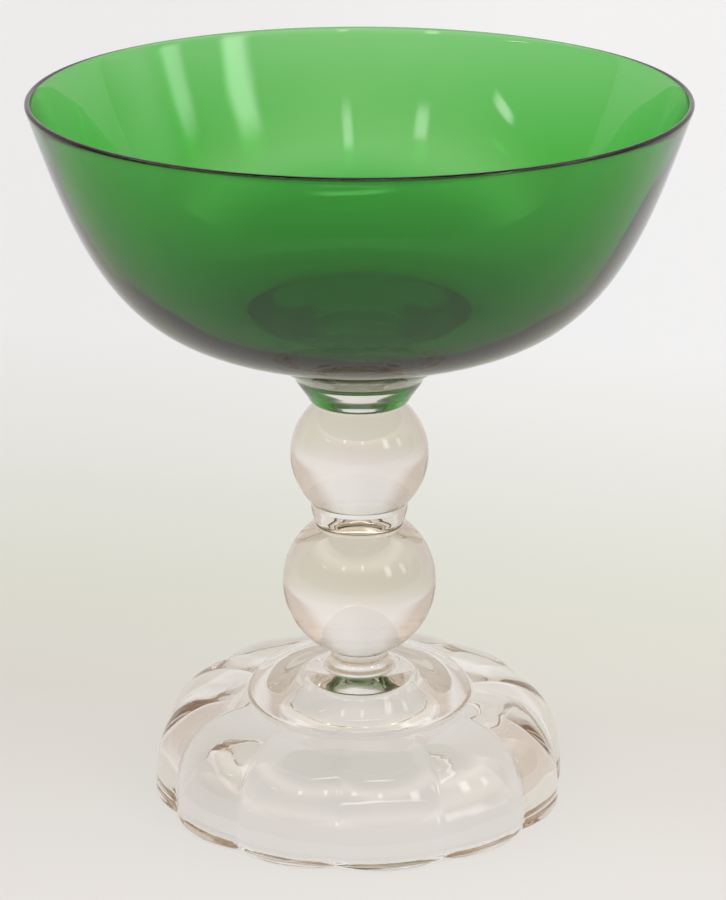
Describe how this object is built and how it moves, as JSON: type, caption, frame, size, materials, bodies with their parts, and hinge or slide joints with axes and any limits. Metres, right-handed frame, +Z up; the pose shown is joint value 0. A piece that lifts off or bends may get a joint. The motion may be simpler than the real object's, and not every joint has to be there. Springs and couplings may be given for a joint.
{
  "type": "sherbet glass",
  "caption": "Footed sherbet glass: a wide green glass bowl on a clear glass stem of two balls, standing on a clear lobed foot that is hollow underneath.",
  "frame": {"origin": "centre of the foot's flat rim, on the surface that the glass stands on", "axes": "+Z up along the stem's axis, towards the bowl; the lobes repeat about Z, so X and Y are free choices"},
  "size_m": [0.102, 0.102, 0.1153],
  "materials": {
    "green_glass": "blown soda glass, coloured through, fire-polished",
    "clear_glass": "pressed soda glass with a faint warm tint, fire-polished"
  },
  "bodies": {
    "root": {"bowl": "green_glass", "bowl_pad": "clear_glass", "collar": "clear_glass", "upper_ball": "clear_glass", "waist_ring": "clear_glass", "lower_ball": "clear_glass", "neck": "clear_glass", "foot": "clear_glass"}
  },
  "joints": []
}
